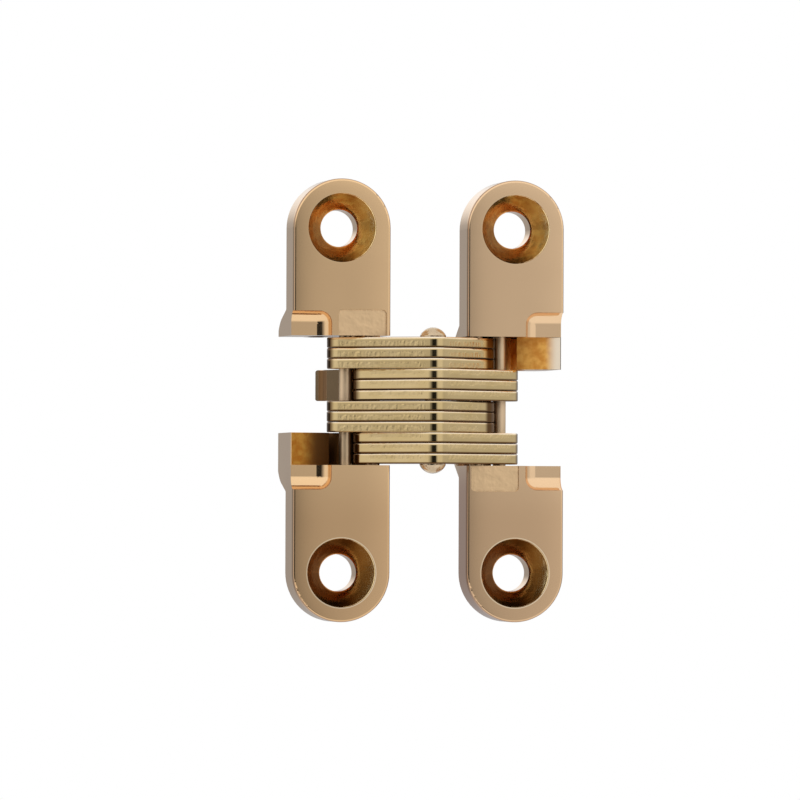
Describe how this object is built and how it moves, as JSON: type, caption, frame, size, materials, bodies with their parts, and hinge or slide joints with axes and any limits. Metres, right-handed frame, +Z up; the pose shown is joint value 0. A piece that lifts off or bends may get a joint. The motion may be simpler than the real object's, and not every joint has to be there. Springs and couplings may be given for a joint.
{
  "type": "invisible hinge",
  "caption": "Concealed mortise hinge with two cast leaves and interleaved link plates; folds from flat open until the leaf faces meet, and disappears in the edge of a closed door",
  "frame": {"origin": "middle of the left leaf between its two screw holes, on the back of its flange, which rests on the shoulder of the mortise", "axes": "+Z up along the hinge's turning axis, +Y into the door or frame edge, -Y out of the leaf faces, +X from the left leaf to the right leaf, laid open flat"},
  "size_m": [0.0267, 0.0139, 0.0428],
  "materials": {
    "leaf": "die-cast zinc with satin brass plating",
    "link": "stamped plate with brass plating",
    "pin": "drawn pin, bright brass plating"
  },
  "bodies": {
    "left_leaf_body": {"left_leaf": "leaf", "left_fixed_pin": "pin"},
    "left_links_body": {"left_link_1": "link", "left_link_2": "link", "left_link_3": "link", "left_link_4": "link", "left_link_5": "link", "left_link_6": "link", "right_slide_pin": "pin", "centre_rivet": "pin"},
    "right_links_body": {"right_link_1": "link", "right_link_2": "link", "right_link_3": "link", "right_link_4": "link", "right_link_5": "link", "right_link_6": "link", "left_slide_pin": "pin"},
    "right_leaf_body": {"right_leaf": "leaf", "right_fixed_pin": "pin"}
  },
  "joints": [
    {"name": "left_leaf_pivot", "type": "hinge", "parent": "left_leaf_body", "child": "left_links_body", "pos_m": [0.00337, -0.0016, 0], "axis": [0, 0, -1], "range_deg": [0, 111.93]},
    {"name": "centre_pivot", "type": "hinge", "parent": "left_links_body", "child": "right_links_body", "pos_m": [0.00856, -0.0062, 0], "axis": [0, 0, 1], "range_deg": [0, 43.86]},
    {"name": "right_leaf_pivot", "type": "hinge", "parent": "right_links_body", "child": "right_leaf_body", "pos_m": [0.01376, -0.0016, 0], "axis": [0, 0, -1], "range_deg": [0, 111.93]}
  ],
  "couplings": [
    {"joint": "centre_pivot", "follows": "left_leaf_pivot", "ratio": 0.3918},
    {"joint": "right_leaf_pivot", "follows": "left_leaf_pivot", "ratio": 1}
  ]
}
